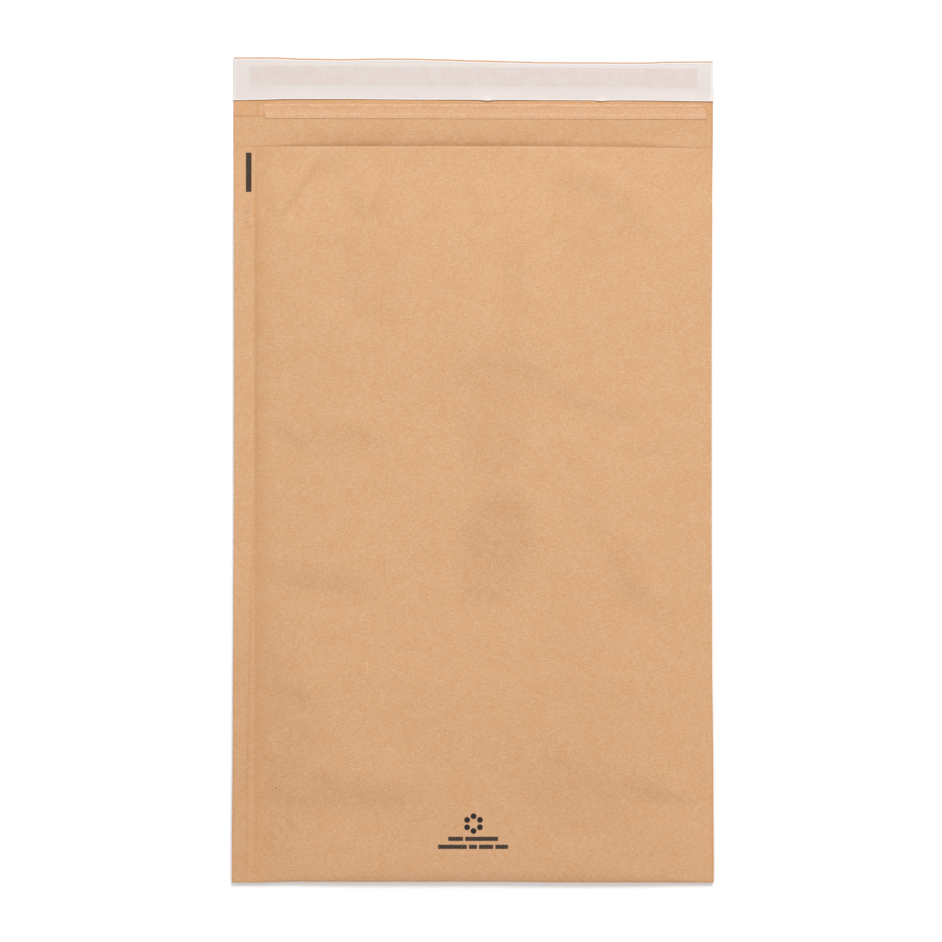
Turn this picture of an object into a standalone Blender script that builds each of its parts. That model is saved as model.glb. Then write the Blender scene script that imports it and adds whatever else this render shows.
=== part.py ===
"""A self-sealing padded envelope of kraft paper, empty, lying on its back with the flap open.

Metres, +Z up. X runs across the envelope, +Y towards the flap, and the origin is at the
middle of the underside, so the back panel rests on z = 0.

Each panel is a sandwich: outer ply, padding, inner ply. All the layers are slabs of one
pillow form, nested inside each other: `inset` says how far in from the outside a slab lies.
"""

import math

import bmesh
import bpy

MM = 0.001

# Overall sizes
WIDTH = 266.7 * MM          # between the outer edges of the side seals
LENGTH = 457.5 * MM         # from the bottom fold to the flap's edge, laid open
BODY = 408.2 * MM           # from the bottom fold to the mouth
SEAL = 12.0 * MM            # width of the flat glued band along each side

# Layers, from the outside in
OUTER_PLY = 0.40 * MM
INNER_PLY = 0.30 * MM
PLY_GAP = 0.20 * MM         # clearance between pieces that are glued face to face
PADDING = 1.90 * MM         # thickness of the blanket in the open field of a panel
PADDING_PRESSED = 0.60 * MM # the same at the seals and in the bottom fold
POCKET = 4.80 * MM          # room between the two inner plies in the middle
POCKET_PRESSED = 0.50 * MM  # the same where the panels are pinched together
BAND = 1.20 * MM            # thickness of a side seal
BAND_LIFT = 2.35 * MM       # height of the side seals over the floor
EDGE_LIFT = 1.00 * MM       # how far the padded edge curls up beside a seal

# The flap
FLAP_PLY = 0.36 * MM
TONGUE_PLY = 0.26 * MM      # the inner ply where it runs on up the flap
TONGUE_END = 17.2 * MM      # above the mouth
TONGUE_HALF_WIDTH = 132.0 * MM
STRIP_X = (-116.1 * MM, 129.0 * MM)
STRIP_Y = (15.5 * MM, 23.6 * MM)      # above the mouth
STRIP_PLY = 0.25 * MM
GLUE_X = (-123.6 * MM, 124.8 * MM)
GLUE_Y = (33.2 * MM, 44.9 * MM)       # above the mouth
GLUE_PLY = 0.30 * MM
GLUE_CORNER = 2.5 * MM
LINER_X = (-132.3 * MM, 133.2 * MM)
LINER_Y = (25.8 * MM, 49.2 * MM)      # above the mouth
LINER_PLY = 0.20 * MM

Y_FOLD = -LENGTH / 2
Y_MOUTH = Y_FOLD + BODY
Y_FLAP = LENGTH / 2
MOUTH_STEP = 0.2 * MM       # the cut edge of the front panel leans back by this much
SEAM = WIDTH / 2 - SEAL     # the line where the padding ends


def ramp(value, low, high):
    """A smooth step from 0 at low to 1 at high."""
    t = min(1.0, max(0.0, (value - low) / (high - low)))
    return t * t * (3 - 2 * t)


def across(x, low, high):
    """1 in the middle of the panel, falling smoothly to 0 between these distances from it."""
    return 1 - ramp(abs(x), low, high)


def padding(x, y):
    rise = ramp(y - Y_FOLD, 3 * MM, 24 * MM)
    full = across(x, 100 * MM, SEAM - 0.6 * MM)
    return PADDING_PRESSED + (PADDING - PADDING_PRESSED) * rise * full


def pocket(x, y):
    rise = ramp(y - Y_FOLD, 3 * MM, 46 * MM)
    full = across(x, 89 * MM, SEAM - 3 * MM)
    return POCKET_PRESSED + (POCKET - POCKET_PRESSED) * rise * full


def thickness(x, y):
    """From the back panel's underside to the front panel's top."""
    wall = OUTER_PLY + PLY_GAP + padding(x, y) + PLY_GAP + INNER_PLY
    return 2 * wall + pocket(x, y)


def settle(y):
    """1 along the body, 0 at the mouth, where everything comes down onto the flap."""
    return 1 - ramp(y, Y_MOUTH - 48 * MM, Y_MOUTH - 2 * MM)


def underside(x, y):
    return EDGE_LIFT * ramp(abs(x), 104 * MM, SEAM) * settle(y)


def inset_outer(x, y):
    return 0.0


def inset_cavity(x, y):
    return OUTER_PLY


def inset_padding(x, y):
    return OUTER_PLY + PLY_GAP


def inset_padding_inside(x, y):
    return OUTER_PLY + PLY_GAP + padding(x, y)


def inset_lining(x, y):
    return OUTER_PLY + 2 * PLY_GAP + padding(x, y)


def inset_pocket(x, y):
    return OUTER_PLY + 2 * PLY_GAP + padding(x, y) + INNER_PLY


NOSE = (15, 38, 62, 90)     # degrees round the bottom fold, from its blunt end to its full height


class Nest:
    """One slab of the pillow: its rows and columns, and the height of its two faces."""

    def __init__(self, inset, half_width, end):
        self.inset = inset
        self.half_width = half_width
        self.start = Y_FOLD + inset(0, Y_FOLD)
        self.radius = thickness(0, Y_FOLD) / 2 - inset(0, Y_FOLD)
        first = math.cos(math.radians(NOSE[0]))
        self.nose = [
            (self.start + self.radius * (first - math.cos(math.radians(a))), math.sin(math.radians(a)))
            for a in NOSE
        ]
        body = [Y_FOLD + d * MM for d in (4, 7, 11, 16, 22, 29, 37, 46, 90, 150, 210, 270, 330)]
        body += [Y_MOUTH - d * MM for d in (48, 33, 24, 15, 2)]
        self.rows = [(y, 1.0, False) for y in sorted(set(body)) if y > self.nose[-1][0] + 0.5 * MM]
        self.rows = [(y, s, False) for y, s in self.nose] + self.rows + [(end, 1.0, False)]
        marks = (0, 45, 78, 89, 95, 100, 105, 110, 114, 117)
        side = [m * MM for m in marks if m * MM < half_width - 0.5 * MM] + [half_width]
        self.columns = [-x for x in reversed(side[1:])] + side

    def height(self, x, y, round_off, up):
        centre = underside(x, y) + thickness(x, y) / 2
        half = thickness(x, y) / 2 - self.inset(x, y)
        return centre + (half if up else -half) * round_off

    def face(self, up):
        def place(x, row):
            y, round_off, _ = row
            return x, y, self.height(x, min(y, Y_MOUTH), round_off, up)

        return place


def slab(name, columns, rows, bottom, top):
    """A closed layer. A grid is extruded once, and each of its two faces is laid out by its own rule."""
    mesh = bmesh.new()
    across_count, along_count = len(columns) - 1, len(rows) - 1
    bmesh.ops.create_grid(mesh, x_segments=across_count, y_segments=along_count, size=1.0)
    made = bmesh.ops.extrude_face_region(mesh, geom=mesh.faces[:])
    raised = [v for v in made["geom"] if isinstance(v, bmesh.types.BMVert)]
    bmesh.ops.translate(mesh, verts=raised, vec=(0, 0, 1))
    for v in mesh.verts:
        column = columns[round((v.co.x + 1) / 2 * across_count)]
        row = rows[round((v.co.y + 1) / 2 * along_count)]
        v.co = (top if v.co.z > 0.5 else bottom)(column, row)
    bmesh.ops.triangulate(mesh, faces=mesh.faces[:], quad_method="FIXED")
    bmesh.ops.recalc_face_normals(mesh, faces=mesh.faces[:])
    data = bpy.data.meshes.new(name)
    mesh.to_mesh(data)
    mesh.free()
    return bpy.data.objects.new(name, data)


def material(name, colour, roughness):
    made = bpy.data.materials.new(name)
    made.use_nodes = True
    shader = made.node_tree.nodes["Principled BSDF"]
    shader.inputs["Base Color"].default_value = (*colour, 1.0)
    shader.inputs["Roughness"].default_value = roughness
    shader.inputs["Metallic"].default_value = 0.0
    return made


def add(thing, collection, paint=None):
    collection.objects.link(thing)
    if paint:
        thing.data.materials.append(paint)
    return thing


def cutter(thing, collection):
    thing.hide_render = True
    thing.display_type = "WIRE"
    collection.objects.link(thing)
    return thing


def cut(thing, tool):
    step = thing.modifiers.new("cut_" + tool.name, "BOOLEAN")
    step.operation = "DIFFERENCE"
    step.solver = "EXACT"
    step.object = tool


def make_outer_wrapper(parts, cutters, paint):
    """Front panel, bottom fold, back panel and flap: one sheet, closed by the two side seals."""
    body = Nest(inset_outer, SEAM + 0.3 * MM, Y_MOUTH)
    shoulder = SEAM + 0.3 * MM
    seal_start = SEAM + 0.9 * MM
    columns = (
        [-WIDTH / 2, -seal_start] + body.columns + [seal_start, WIDTH / 2]
    )
    rows = body.rows + [(Y_MOUTH + MOUTH_STEP, 1.0, True), (Y_FLAP, 1.0, True)]

    def surface(up):
        def place(x, row):
            y, round_off, on_flap = row
            if on_flap:
                return x, y, FLAP_PLY if up else 0.0
            if abs(x) <= shoulder + 1e-9:
                return x, y, body.height(x, y, round_off, up)
            middle = BAND_LIFT * settle(y) + BAND / 2
            return x, y, middle + (BAND / 2 if up else -BAND / 2) * round_off

        return place

    wrapper = add(slab("outer_wrapper", columns, rows, surface(False), surface(True)), parts, paint)
    room = Nest(inset_cavity, SEAM - 0.3 * MM, Y_MOUTH + 4 * MM)
    hollow = slab("cavity", room.columns, room.rows, room.face(False), room.face(True))
    cut(wrapper, cutter(hollow, cutters))
    return wrapper


def make_padding(parts, cutters, paint):
    """One blanket folded round the bottom. It ends at the side seals and just short of the mouth."""
    form = Nest(inset_padding, SEAM - 0.9 * MM, Y_MOUTH - 0.4 * MM)
    blanket = add(slab("padding", form.columns, form.rows, form.face(False), form.face(True)), parts, paint)
    inside = Nest(inset_padding_inside, SEAM + 0.6 * MM, Y_MOUTH + 4 * MM)
    hollow = slab("padding_inside", inside.columns, inside.rows, inside.face(False), inside.face(True))
    cut(blanket, cutter(hollow, cutters))
    return blanket


def make_inner_lining(parts, cutters, paint):
    """The inner ply: a pouch inside the padding, with a tongue that runs on up the flap."""
    form = Nest(inset_lining, SEAM - 1.5 * MM, Y_MOUTH)
    landed = FLAP_PLY + PLY_GAP
    above = form.height(0, Y_MOUTH, 1.0, False)

    def widen(x, y):
        share = ramp(y - Y_MOUTH, 0.6 * MM, 1.4 * MM)
        return x * (1 + share * (TONGUE_HALF_WIDTH / form.half_width - 1))

    tongue = [Y_MOUTH + d * MM for d in (0.2, 0.6, 1.4, 2.6, 4.2, 6.0, 8.0)] + [Y_MOUTH + TONGUE_END]
    rows = form.rows + [(y, 1.0, True) for y in tongue]

    def surface(up):
        def place(x, row):
            y, round_off, on_flap = row
            if not on_flap:
                return x, y, form.height(x, y, round_off, up)
            start = form.height(x, Y_MOUTH, 1.0, False)
            low = start + (landed - start) * ramp(y - Y_MOUTH, 0.2 * MM, 8.0 * MM)
            return widen(x, y), y, low + (TONGUE_PLY if up else 0.0)

        return place

    lining = add(slab("inner_lining", form.columns, rows, surface(False), surface(True)), parts, paint)
    room = Nest(inset_pocket, SEAM - 3.4 * MM, Y_MOUTH + 4 * MM)
    hollow = slab("pocket_room", room.columns, room.rows, room.face(False), room.face(True))
    cut(lining, cutter(hollow, cutters))
    return lining


def make_tear_strip(parts, paint):
    """A narrow tape across the flap. Its lower edge lies over the end of the inner ply's tongue."""
    on_ply = FLAP_PLY + PLY_GAP
    on_tongue = on_ply + TONGUE_PLY + PLY_GAP
    rows = [
        (Y_MOUTH + STRIP_Y[0], on_tongue),
        (Y_MOUTH + TONGUE_END + 0.2 * MM, on_tongue),
        (Y_MOUTH + TONGUE_END + 1.0 * MM, on_ply),
        (Y_MOUTH + STRIP_Y[1], on_ply),
    ]
    columns = [STRIP_X[0] + (STRIP_X[1] - STRIP_X[0]) * n / 6 for n in range(7)]
    return add(
        slab(
            "tear_strip",
            columns,
            rows,
            lambda x, row: (x, row[0], row[1]),
            lambda x, row: (x, row[0], row[1] + STRIP_PLY),
        ),
        parts,
        paint,
    )


def make_adhesive_strip(parts, paint):
    """A band of hot melt with rounded corners."""
    mesh = bmesh.new()
    bmesh.ops.create_cube(mesh, size=1.0)
    size = (GLUE_X[1] - GLUE_X[0], GLUE_Y[1] - GLUE_Y[0], GLUE_PLY)
    bmesh.ops.scale(mesh, vec=size, verts=mesh.verts[:])
    upright = [e for e in mesh.edges if abs(e.verts[0].co.z - e.verts[1].co.z) > GLUE_PLY / 2]
    bmesh.ops.bevel(mesh, geom=upright, offset=GLUE_CORNER, segments=4, profile=0.5, affect="EDGES")
    data = bpy.data.meshes.new("adhesive_strip")
    mesh.to_mesh(data)
    mesh.free()
    glue = add(bpy.data.objects.new("adhesive_strip", data), parts, paint)
    glue.location = (
        (GLUE_X[0] + GLUE_X[1]) / 2,
        Y_MOUTH + (GLUE_Y[0] + GLUE_Y[1]) / 2,
        FLAP_PLY + PLY_GAP + GLUE_PLY / 2,
    )
    return glue


def make_release_liner(parts, paint):
    """White paper laid over the adhesive and down onto the flap all round it."""
    low = FLAP_PLY + PLY_GAP
    rise = GLUE_PLY + PLY_GAP
    fall = 1.3 * MM
    clear = 0.4 * MM

    def stations(outer, inner):
        return [outer[0], inner[0] - clear - fall, inner[0] - clear, inner[1] + clear, inner[1] + clear + fall, outer[1]]

    columns = stations(LINER_X, GLUE_X)
    columns[3:3] = [columns[2] + (columns[3] - columns[2]) * n / 4 for n in (1, 2, 3)]
    rows = stations(LINER_Y, GLUE_Y)

    def lift(x, y):
        over_x = columns[2] - 1e-9 <= x <= columns[-3] + 1e-9
        over_y = rows[2] - 1e-9 <= y <= rows[3] + 1e-9
        return low + (rise if over_x and over_y else 0.0)

    return add(
        slab(
            "release_liner",
            columns,
            rows,
            lambda x, y: (x, Y_MOUTH + y, lift(x, y)),
            lambda x, y: (x, Y_MOUTH + y, lift(x, y) + LINER_PLY),
        ),
        parts,
        paint,
    )


def main():
    for thing in list(bpy.data.objects):
        bpy.data.objects.remove(thing, do_unlink=True)
    parts = bpy.data.collections.new("padded_envelope")
    cutters = bpy.data.collections.new("cutters")
    bpy.context.scene.collection.children.link(parts)
    bpy.context.scene.collection.children.link(cutters)
    kraft = material("kraft_outer", (0.716, 0.418, 0.227), 0.82)
    inner = material("kraft_inner", (0.690, 0.400, 0.222), 0.85)
    fluff = material("paper_fill", (0.50, 0.42, 0.33), 0.95)
    tape = material("kraft_tape", (0.76, 0.47, 0.27), 0.75)
    glue = material("hot_melt", (0.79, 0.70, 0.62), 0.35)
    white = material("siliconised_paper", (0.823, 0.738, 0.701), 0.45)
    make_outer_wrapper(parts, cutters, kraft)
    make_padding(parts, cutters, fluff)
    make_inner_lining(parts, cutters, inner)
    make_tear_strip(parts, tape)
    make_adhesive_strip(parts, glue)
    make_release_liner(parts, white)


main()
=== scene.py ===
"""The looks of the padded envelope: folded kraft plies with their wrinkles, the padding between them,
the flap with its tape, adhesive and release liner, and a plain studio.

Lengths in the shape functions are millimetres in the CAD frame. Meshes are made in metres.
"""

import bpy
import numpy as np
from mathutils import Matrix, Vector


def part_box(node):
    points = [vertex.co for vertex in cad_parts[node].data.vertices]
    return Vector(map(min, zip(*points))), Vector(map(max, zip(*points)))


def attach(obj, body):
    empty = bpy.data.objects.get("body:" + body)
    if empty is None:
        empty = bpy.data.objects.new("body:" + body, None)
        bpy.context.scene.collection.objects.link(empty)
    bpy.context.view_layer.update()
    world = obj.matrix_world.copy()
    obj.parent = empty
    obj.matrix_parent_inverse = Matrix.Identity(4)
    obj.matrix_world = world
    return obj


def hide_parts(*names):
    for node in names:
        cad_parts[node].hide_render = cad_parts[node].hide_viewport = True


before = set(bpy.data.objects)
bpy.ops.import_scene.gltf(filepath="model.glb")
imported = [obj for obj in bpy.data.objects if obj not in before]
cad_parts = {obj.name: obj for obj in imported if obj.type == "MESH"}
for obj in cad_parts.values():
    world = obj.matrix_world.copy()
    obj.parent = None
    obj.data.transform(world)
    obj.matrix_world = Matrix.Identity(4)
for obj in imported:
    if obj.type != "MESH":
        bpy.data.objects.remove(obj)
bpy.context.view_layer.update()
MM = 0.001


def box_mm(node):
    lo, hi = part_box(node)
    return [v * 1000 for v in lo], [v * 1000 for v in hi]


WRAP_LO, WRAP_HI = box_mm("outer_wrapper")
PAD_LO, PAD_HI = box_mm("padding")
LINING_LO, LINING_HI = box_mm("inner_lining")
STRIP_LO, STRIP_HI = box_mm("tear_strip")
GLUE_LO, GLUE_HI = box_mm("adhesive_strip")
LINER_LO, LINER_HI = box_mm("release_liner")

Y_FOLD = WRAP_LO[1]
Y_FLAP = WRAP_HI[1]
Y_MOUTH = PAD_HI[1] + 0.4
TOP = WRAP_HI[2]

PLY = 0.25          # outer kraft
LINING_PLY = 0.15   # inner kraft
BLANKET = 1.9       # padding in the open field


# ---------------------------------------------------------------- shape rules, all in mm

def ramp(v, lo, hi):
    t = np.clip((v - lo) / (hi - lo), 0.0, 1.0)
    return t * t * (3 - 2 * t)


def ease(d, reach, power):
    """0 at the edge, rising steeply at first and levelling off at reach."""
    return 1 - (1 - np.clip(d / reach, 0.0, 1.0)) ** power


def through(v, stations, values):
    """A smooth curve through a few stations: each stretch is a smooth step."""
    s, w = np.asarray(stations, float), np.asarray(values, float)
    v = np.clip(v, s[0], s[-1])
    i = np.clip(np.searchsorted(s, v, side="right") - 1, 0, len(s) - 2)
    t = (v - s[i]) / (s[i + 1] - s[i])
    t = t * t * (3 - 2 * t)
    return w[i] + (w[i + 1] - w[i]) * t


def left_edge(y):
    return through(y, (-229, -206, -140, -73, -18, 65, 148, 190, 228), (-133.7, -133.6, -133.1, -132.8, -132.6, -132.5, -132.6, -133.0, -132.8))


def right_edge(y):
    return through(y, (-229, -173, -95, -29, 65, 148, 190, 228), (133.7, 133.4, 132.7, 132.5, 132.5, 132.8, 133.3, 133.3))


def seam(y):
    """The inner edge of the left seal."""
    return -120.9 + 0.0 * y


def seal_fold(y):
    """A faint second line in the seal, which leaves its inner edge and runs out towards the bottom."""
    return through(y, (-229, -180, -100, 10, 228), (-125.6, -125.1, -123.7, -121.9, -121.0))


def mouth(x):
    return through(x, (-134, 30, 75, 108, 134), (0.0, 0.0, -0.35, -0.80, -0.85)) + Y_MOUTH


def bottom(x):
    return Y_FOLD + through(x, (-134, -122, -100, 10, 45, 134), (-0.1, -0.1, 0.35, 0.35, 0.0, -0.1))


def flap_edge(x):
    return through(
        x,
        (-134, -112, -94, -73, -50, -36, -18, 0, 20, 40, 95, 110, 134),
        (229.1, 229.1, 228.4, 228.1, 228.5, 228.5, 228.0, 227.4, 226.9, 226.4, 226.3, 226.8, 226.9),
    )


def liner_edge(x):
    nick = 0.42 * np.exp(-(((x - 8) / 3.2) ** 2)) + 0.38 * np.exp(-(((x - 71) / 3.0) ** 2)) + 0.12 * np.exp(-(((x - 38) / 2) ** 2))
    return through(x, (-134, -120, -102, -72, -25, 20, 60, 85, 134), (205.4, 205.6, 206.0, 206.0, 205.65, 205.5, 205.3, 205.25, 204.75)) - nick


def settle(y):
    return 1 - ramp(y, Y_MOUTH - 48, Y_MOUTH - 2)


def seal_height(y):
    return 0.50 + 1.37 * settle(y)


LIGHT_SIDE = np.array((0.20, 0.98))


def crease(x, y, points, tilt, width, reach, end=0.22):
    """A soft step along a line: the far side from the light lies lower, and both sides ease back to level."""
    p = np.asarray(points, float)
    best = np.full(np.shape(x), 1e9)
    side = np.zeros(np.shape(x))
    along = np.zeros(np.shape(x))
    seg = np.diff(p, axis=0)
    lengths = np.hypot(seg[:, 0], seg[:, 1])
    total = lengths.sum()
    hand = 1.0 if np.array((-seg[:, 1].sum(), seg[:, 0].sum())) @ LIGHT_SIDE > 0 else -1.0
    done = 0.0
    for a, d, length in zip(p[:-1], seg, lengths):
        t = np.clip(((x - a[0]) * d[0] + (y - a[1]) * d[1]) / length**2, 0, 1)
        ox, oy = x - a[0] - t * d[0], y - a[1] - t * d[1]
        dist = np.hypot(ox, oy)
        normal = np.array((-d[1], d[0])) / length * hand
        signed = (x - a[0]) * normal[0] + (y - a[1]) * normal[1]
        near = dist < best
        best = np.where(near, dist, best)
        side = np.where(near, signed, side)
        along = np.where(near, (done + t * length) / total, along)
        done += length
    fade = ramp(along, 0, end) * (1 - ramp(along, 1 - end, 1))
    signed = np.sign(side) * best
    return tilt * width * np.tanh(signed / width) * np.exp(-((best / reach) ** 2)) * fade


def dent(x, y, cx, cy, rx, ry, turn, depth):
    c, s = np.cos(np.radians(turn)), np.sin(np.radians(turn))
    u = ((x - cx) * c + (y - cy) * s) / rx
    v = (-(x - cx) * s + (y - cy) * c) / ry
    return -depth * np.exp(-(u * u + v * v))


CREASES = (
    # points, tilt, width, reach
    (((-81.0, 176.0), (-94.0, 158.0), (-109.0, 137.0)), 0.330, 3.0, 13),
    (((-69.0, 157.0), (-64.0, 143.0), (-57.0, 139.0)), 0.190, 2.8, 14),
    (((-57.0, 139.0), (-50.5, 142.0), (-44.0, 163.0)), 0.330, 2.2, 14),
    (((-64.0, 130.0), (-66.5, 108.0), (-63.5, 84.0)), 0.110, 6.0, 20),
    (((36.0, 160.5), (67.5, 157.0), (86.0, 144.5), (101.0, 118.0)), 0.145, 5.4, 20),
    (((80.0, 169.0), (94.0, 162.0), (107.0, 154.0)), 0.180, 1.7, 10),
    (((-1.0, 158.0), (3.0, 138.0)), 0.300, 2.6, 12),
    (((20.0, 130.0), (27.5, 85.0)), 0.100, 4.2, 15),
    (((-6.0, 54.0), (6.0, 61.0), (30.0, 57.0), (44.0, 46.0)), 0.100, 6.2, 24),
    (((36.0, 50.0), (64.0, 34.5), (98.0, 26.5)), 0.170, 4.2, 20),
    (((76.0, 12.5), (95.0, 11.0), (112.0, 11.5)), 0.170, 2.0, 12),
    (((80.0, -25.0), (77.5, -46.5), (86.0, -68.0), (111.0, -87.0)), 0.145, 4.8, 20),
    (((88.0, -60.0), (97.0, -72.0)), 0.200, 2.4, 10),
    (((24.0, -12.0), (30.0, -36.0), (33.0, -62.0)), 0.105, 4.0, 19),
    (((-8.0, -66.0), (4.0, -71.0), (22.0, -70.0)), 0.110, 4.6, 20),
    (((-112.5, 25.0), (-91.0, 12.0)), 0.130, 3.0, 12),
    (((-78.5, 21.5), (-64.0, 20.0), (-44.5, 12.0)), 0.080, 4.0, 14),
    (((-118.0, -55.0), (-97.0, -60.5), (-80.0, -63.5), (-48.0, -66.5)), 0.105, 5.0, 19),
    (((-106.5, -118.0), (-88.0, -131.0)), 0.140, 3.4, 13),
    (((-93.0, -168.0), (-75.0, -172.5)), 0.140, 2.6, 11),
    (((-122.0, -176.0), (-96.0, -181.0), (-74.0, -180.0), (-24.0, -184.0)), 0.130, 8.0, 26),
    (((45.5, -157.0), (55.5, -168.0)), 0.280, 1.2, 8),
    (((82.0, -172.0), (103.0, -180.0), (123.0, -187.0)), 0.170, 4.0, 15),
    (((107.0, -177.0), (113.0, -181.0), (121.0, -186.0)), 0.280, 0.8, 5),
    (((-119.5, -191.0), (-108.0, -207.5)), 0.300, 1.0, 6),
    (((-120.0, -198.0), (-110.5, -213.0)), 0.330, 0.9, 6),
    (((-116.0, -187.0), (-103.0, -203.0)), 0.230, 0.9, 6),
    (((-106.0, -190.0), (-96.0, -201.0)), 0.180, 1.0, 6),
    (((-124.5, -208.0), (-116.0, -218.0)), 0.180, 0.9, 5),
)

DENTS = (
    # centre x, y, radius x, y, turn, depth
    (10.0, 40.0, 24, 16, -10, 0.40),
    (6.0, -50.0, 22, 22, -8, 0.60),
    (58.0, -188.0, 34, 20, -12, 0.45),
    (-72.0, 60.0, 34, 44, 0, -0.25),
    (-34.0, -16.0, 24, 52, 6, -0.30),
    (70.0, -10.0, 22, 34, 0, -0.22),
    (20.0, -120.0, 44, 26, 0, -0.30),
    (-70.0, -110.0, 34, 30, 0, -0.15),
)


def ripples(x, y):
    """Faint random unevenness of padding under paper, from a few fixed waves."""
    rng = np.random.default_rng(11)
    total = np.zeros(np.shape(x))
    for size, strength, count in ((58.0, 0.046, 14), (21.0, 0.017, 18), (9.5, 0.0060, 22)):
        for _ in range(count):
            a = rng.uniform(0, 2 * np.pi)
            wave = 2 * np.pi / (size * rng.uniform(0.75, 1.35))
            total += strength * np.sin(wave * (x * np.cos(a) + y * np.sin(a)) + rng.uniform(0, 2 * np.pi)) / np.sqrt(count / 6)
    return total


def wrinkles(x, y):
    total = ripples(x, y)
    for points, tilt, width, reach in CREASES:
        total = total + crease(x, y, points, 0.88 * tilt, width, reach)
    for cx, cy, rx, ry, turn, depth in DENTS:
        total = total + dent(x, y, cx, cy, rx, ry, turn, depth)
    return total


def front(x, y):
    """Height of the middle of the front panel's outer ply."""
    inside_left = x - seam(y)
    inside_right = right_edge(y) - 0.8 - x
    inside_bottom = y - bottom(x)
    inside_mouth = mouth(x) - y
    soft = 2.6 + 4.6 * (1 - ramp(y, -140, 40))
    fill = 0.15 * (1 - np.exp(-np.maximum(inside_left, 0) / soft)) + 0.85 * ease(inside_left, 66, 1.9)
    fill = fill * ease(inside_right, 66, 1.9)
    fill = fill * (0.16 + 0.12 * (1 - np.exp(-np.maximum(inside_bottom - 1.5, 0) / 1.7)) + 0.72 * ease(inside_bottom - 1.5, 112, 1.35))
    fill = fill * (0.52 + 0.48 * ramp(inside_mouth, -6, 108))
    low = seal_height(y)
    lip = 0.07 * ramp(inside_left, -0.5, 0.9) * ramp(inside_mouth, 0, 30) * ramp(inside_bottom, 1, 12)
    lip = lip + 0.24 * ramp(x - seal_fold(y), -0.5, 0.6) * (1 - 0.6 * ramp(x - seal_fold(y), 0.6, 4)) * (1 - ramp(y, -60, 25)) * ramp(inside_bottom, 1, 12)
    field = ramp(inside_left, 1, 12) * ramp(inside_right, 1, 14) * ramp(inside_bottom, 2, 14) * (0.35 + 0.65 * ramp(inside_mouth, 0, 16))
    rise = TOP - 0.6 - 2.1
    turned = 0.20 * np.exp(-np.maximum(inside_mouth, 0) / 0.9) * ramp(inside_left, 0, 14) * ramp(inside_right, 0, 14)
    return low + 0.35 + lip + rise * fill + wrinkles(x, y) * field - turned


BACK_CREASES = (
    (((-70.0, 120.0), (-20.0, 104.0), (60.0, 112.0)), 0.11, 4.0, 18),
    (((96.0, -20.0), (62.0, -44.0), (30.0, -50.0)), 0.12, 3.6, 16),
    (((-100.0, -120.0), (-54.0, -136.0), (8.0, -130.0)), 0.12, 4.2, 18),
    (((-104.0, 40.0), (-70.0, 22.0)), 0.13, 3.0, 13),
    (((70.0, -176.0), (104.0, -190.0)), 0.13, 3.0, 12),
)


def back_relief(x, y):
    """The back lies on the table, with shallow hollows where the padding under it is thin."""
    total = 0.20 + 0.17 * np.sin(x / 13.0 + 1.3 * np.sin(y / 31.0)) * np.sin(y / 19.0 + 0.9 * np.sin(x / 23.0) + 0.5)
    for points, tilt, width, reach in BACK_CREASES:
        total = total + crease(x, y, points, tilt, width, reach)
    return np.maximum(total, 0) * ramp(y, Y_FOLD + 4, Y_FOLD + 26) * (1 - ramp(y, Y_MOUTH - 26, Y_MOUTH - 4))


def back(x, y):
    """Height of the middle of the back panel's outer ply. It rests flat, and curls up to the seals."""
    flat = PLY / 2 + 0.01
    reach_left = ramp(seam(y) + 22 - x, 0, 22)
    reach_right = ramp(x - (right_edge(y) - 24), 0, 23)
    lift = np.maximum(reach_left, reach_right)
    target = np.maximum(seal_height(y) - 0.35, flat)
    return flat + (target - flat) * lift + back_relief(x, y) * (1 - lift)


def half_gap(x, y):
    return (front(x, y) - back(x, y)) / 2


def blanket(x, y):
    return np.clip(0.46 * (half_gap(x, y) - 0.32), 0.02, BLANKET)


def back_blanket(x, y):
    """The back's padding thins out towards the mouth, where the flap leaves it."""
    return blanket(x, y) * (1 - 0.45 * ramp(y, Y_MOUTH - 34, Y_MOUTH - 3))


SKIN = PLY / 2 + 0.34
CLEAR = 0.20        # between the padding and the lining, so that neither shows through the other


def lining_high(x, y):
    h = half_gap(x, y)
    return front(x, y) - np.minimum(SKIN + CLEAR + blanket(x, y) + LINING_PLY / 2, h - LINING_PLY / 2 - 0.015)


def lining_low(x, y):
    h = half_gap(x, y)
    return back(x, y) + np.minimum(SKIN + CLEAR + back_blanket(x, y) + LINING_PLY / 2, h - LINING_PLY / 2 - 0.015)


def padding_high(x, y):
    h = half_gap(x, y)
    return front(x, y) - np.minimum(SKIN + blanket(x, y) / 2, h - blanket(x, y) / 2 - LINING_PLY - 0.08)


def padding_low(x, y):
    h = half_gap(x, y)
    return back(x, y) + np.minimum(SKIN + back_blanket(x, y) / 2, h - back_blanket(x, y) / 2 - LINING_PLY - 0.08)


def hollow(x):
    """How much of the mouth's hollow is there: all of it in the middle, none at the seals."""
    uneven_rim = 0.90 + 0.14 * np.sin(x / 15.0 + 1.2) + 0.08 * np.sin(x / 5.3)
    return ramp(x, -124, -92) * (1 - 0.62 * ramp(x, 34, 62)) * (1 - ramp(x, 84, 112)) * uneven_rim


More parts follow.
